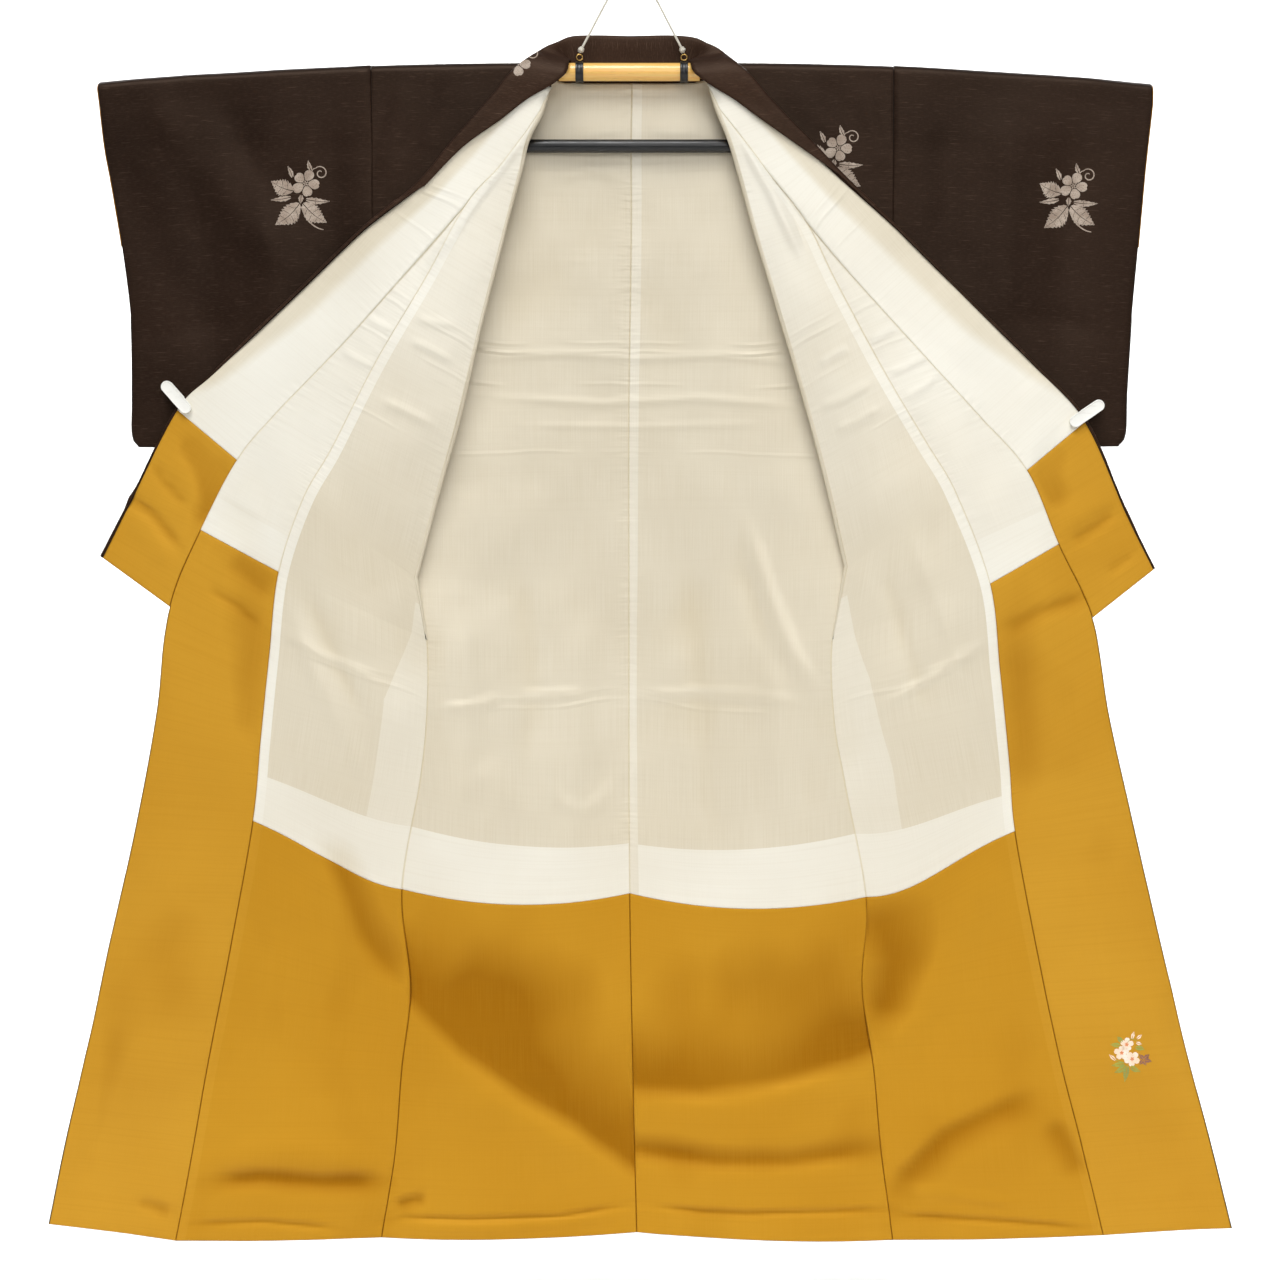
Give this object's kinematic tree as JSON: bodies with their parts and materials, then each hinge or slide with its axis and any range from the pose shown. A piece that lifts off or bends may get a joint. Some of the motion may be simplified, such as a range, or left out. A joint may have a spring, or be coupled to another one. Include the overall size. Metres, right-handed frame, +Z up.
{
  "type": "kimono on a hanger rod",
  "caption": "Lined kimono hung spread out on a bowed wooden hanger rod, with both fronts turned outwards so that the ivory and mustard lining shows.",
  "frame": {"origin": "the point under the top of the hanging cord, where a hook bears", "axes": "+X to the right as seen from the front, +Y away from the viewer, +Z up. Left and right in the node names are as seen from the front"},
  "size_m": [1.4988, 0.0766, 1.6282],
  "materials": {
    "outer_silk": "matt woven silk",
    "ivory_lining": "satin silk",
    "mustard_lining": "satin silk",
    "pale_wood": "lacquered",
    "black_plastic": "satin",
    "brass": "polished",
    "cord": "twisted cotton",
    "white_plastic": "satin"
  },
  "bodies": {
    "root": {"outer_back_left": "outer_silk", "outer_back_right": "outer_silk", "outer_front_left": "outer_silk", "outer_front_right": "outer_silk", "outer_overlap_left": "outer_silk", "outer_overlap_right": "outer_silk", "outer_collar": "outer_silk", "outer_sleeve_left": "outer_silk", "outer_sleeve_right": "outer_silk", "lining_back_left": "ivory_lining", "lining_back_right": "ivory_lining", "lining_front_left": "ivory_lining", "lining_front_right": "ivory_lining", "lining_overlap_left": "ivory_lining", "lining_overlap_right": "ivory_lining", "lining_collar_left": "ivory_lining", "lining_collar_right": "ivory_lining", "hem_lining_back_left": "mustard_lining", "hem_lining_back_right": "mustard_lining", "hem_lining_front_left": "mustard_lining", "hem_lining_front_right": "mustard_lining", "hem_lining_overlap_left": "mustard_lining", "hem_lining_overlap_right": "mustard_lining", "hem_lining_collar_left": "mustard_lining", "hem_lining_collar_right": "mustard_lining", "mouth_facing_left": "mustard_lining", "mouth_facing_right": "mustard_lining", "hanger_pole": "pale_wood", "hanger_arm_left": "pale_wood", "hanger_arm_right": "pale_wood", "band_left": "black_plastic", "band_right": "black_plastic", "cross_bar": "black_plastic", "side_link_left": "black_plastic", "side_link_right": "black_plastic", "brass_eye_left": "brass", "brass_eye_right": "brass", "hanging_cord": "cord", "knot_left": "cord", "knot_right": "cord", "clip_front_left": "white_plastic", "clip_front_right": "white_plastic", "clip_back_left": "white_plastic", "clip_back_right": "white_plastic"}
  },
  "joints": []
}
